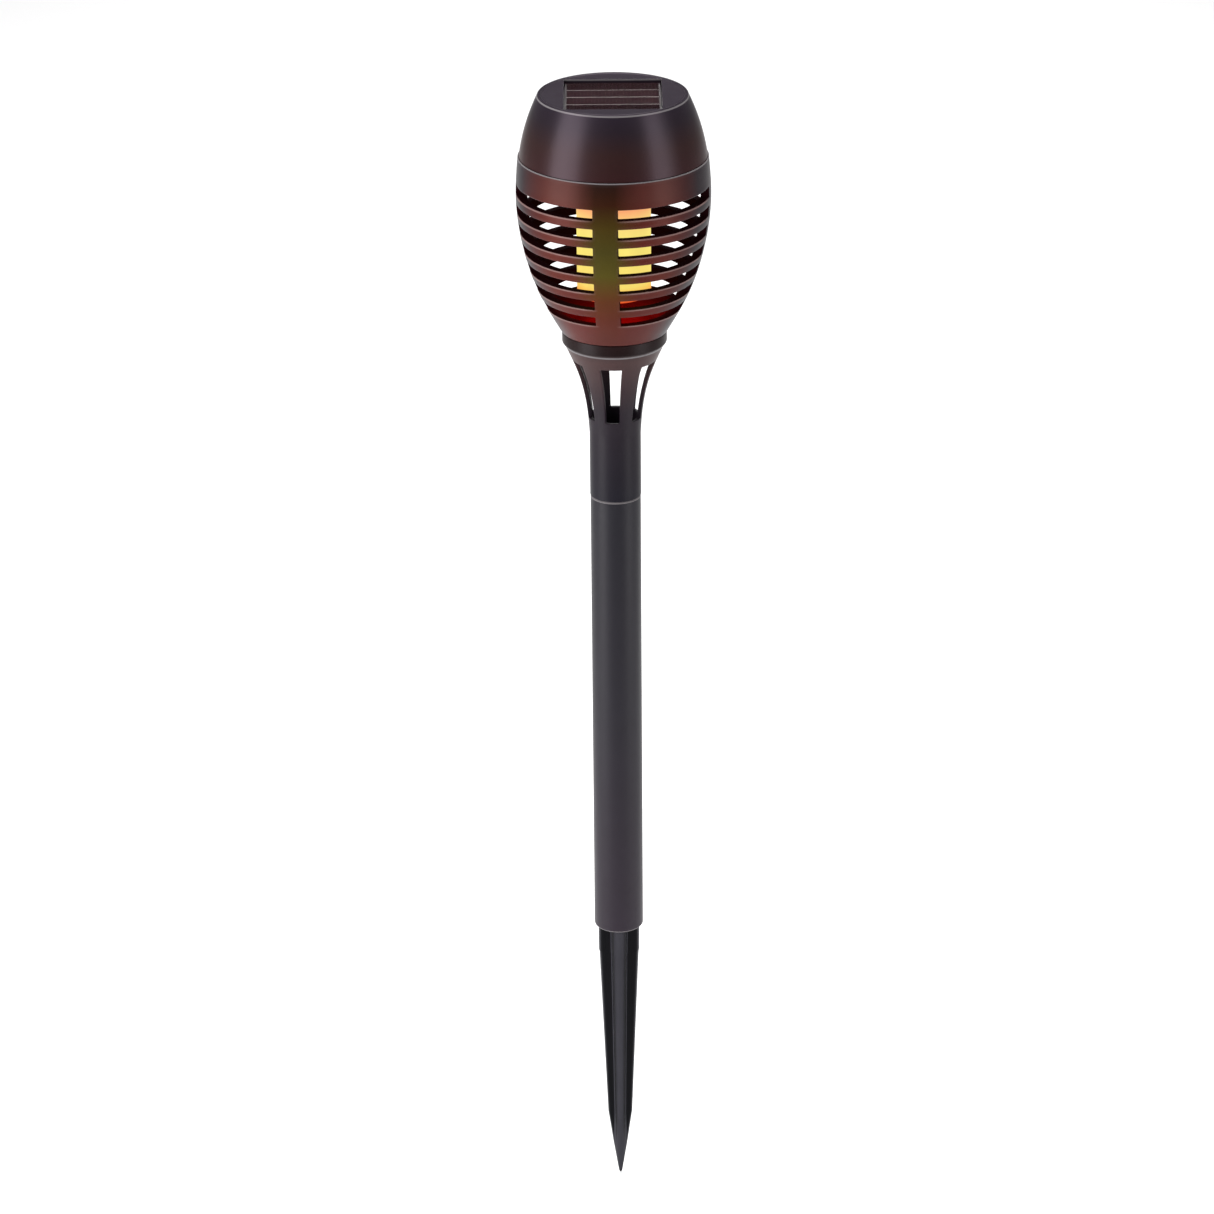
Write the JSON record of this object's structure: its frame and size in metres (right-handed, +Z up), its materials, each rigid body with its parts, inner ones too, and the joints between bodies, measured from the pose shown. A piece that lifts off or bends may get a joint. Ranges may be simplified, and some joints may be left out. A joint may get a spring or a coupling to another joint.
{
  "type": "solar garden torch",
  "caption": "Solar garden torch: a finned ground spike, a round pole and a slotted neck carry a slatted bulb-shaped cage, and a solar lamp with a glowing core lifts out of it.",
  "frame": {"origin": "on the axis at the soil line, where the pole's lower end meets the spike", "axes": "+Z up along the pole; -Y is the front, where one post of the cage and one slot of the neck face (both turned 5.3 degrees to the viewer's left)"},
  "size_m": [0.0828, 0.0828, 0.519],
  "materials": {
    "spike_plastic": "satin black moulded polypropylene with fine flow lines",
    "pole_plastic": "satin charcoal tube, faint lengthwise draw lines",
    "neck_plastic": "satin charcoal moulding",
    "cage_plastic": "satin charcoal-brown moulding, warm where the light falls on it",
    "cap_plastic": "satin charcoal moulding with fine spark-eroded texture",
    "plate_plastic": "matt black moulding",
    "seal_rubber": "matt nitrile rubber",
    "gasket_foam": "closed-cell foam",
    "tape_foam": "white double-sided foam tape",
    "panel_laminate": "dark laminate",
    "silicon_cell": "dark purple-brown amorphous silicon with fine grid lines",
    "ribbon_metal": "tinned ribbon",
    "clear_resin": "clear glossy epoxy",
    "board_laminate": "green solder mask",
    "screw_steel": "zinc plated",
    "chip_plastic": "moulded epoxy",
    "ferrite": "matt ferrite",
    "copper": "enamelled copper wire",
    "battery_wrap": "plain shrink sleeve over a steel can",
    "contact_metal": "nickel plated spring steel",
    "switch_plastic": "nylon",
    "button_rubber": "soft black button",
    "wire_insulation": "PVC insulation",
    "post_plastic": "white moulding",
    "flex_laminate": "white flexible board",
    "led_phosphor": "yellow phosphor",
    "frosted_plastic": "frosted translucent polypropylene, lit from inside"
  },
  "bodies": {
    "stake": {"ground_spike": "spike_plastic"},
    "pole": {"pole_tube": "pole_plastic"},
    "lantern": {"neck_funnel": "neck_plastic", "cage": "cage_plastic", "cage_screws": "screw_steel"},
    "seal": {"seal_ring": "seal_rubber"},
    "lamp": {"base_plate": "plate_plastic", "plate_gasket": "gasket_foam", "cap_shell": "cap_plastic", "cap_screws": "screw_steel", "panel_tape": "tape_foam", "panel_board": "panel_laminate", "solar_cells": "silicon_cell", "cell_ribbons": "ribbon_metal", "panel_resin": "clear_resin", "circuit_board": "board_laminate", "board_screws": "screw_steel", "controller_chip": "chip_plastic", "board_inductor": "ferrite", "inductor_winding": "copper", "battery": "battery_wrap", "battery_plate": "contact_metal", "battery_spring": "contact_metal", "switch_body": "switch_plastic", "panel_wires": "wire_insulation", "battery_wires": "wire_insulation", "led_wires": "wire_insulation", "led_post": "post_plastic", "post_screws": "screw_steel", "led_board": "flex_laminate", "leds": "led_phosphor", "diffuser": "frosted_plastic"},
    "button": {"power_button": "button_rubber"}
  },
  "joints": [
    {"name": "pole_pull", "type": "slide", "parent": "stake", "child": "pole", "axis": [0, 0, 1], "range_m": [0, 0.024]},
    {"name": "neck_pull", "type": "slide", "parent": "pole", "child": "lantern", "axis": [0, 0, 1], "range_m": [0, 0.024]},
    {"name": "lamp_lift", "type": "slide", "parent": "lantern", "child": "seal", "axis": [0, 0, 1], "range_m": [0, 0.065]},
    {"name": "lamp_twist", "type": "hinge", "parent": "seal", "child": "lamp", "pos_m": [0, 0, 0.3603], "axis": [0, 0, 1], "range_deg": [-18, 0]},
    {"name": "button_press", "type": "slide", "parent": "lamp", "child": "button", "axis": [0, 0, 1], "range_m": [0, 0.0012], "stiffness_N_per_m": 400, "springref_m": -0.0006}
  ]
}
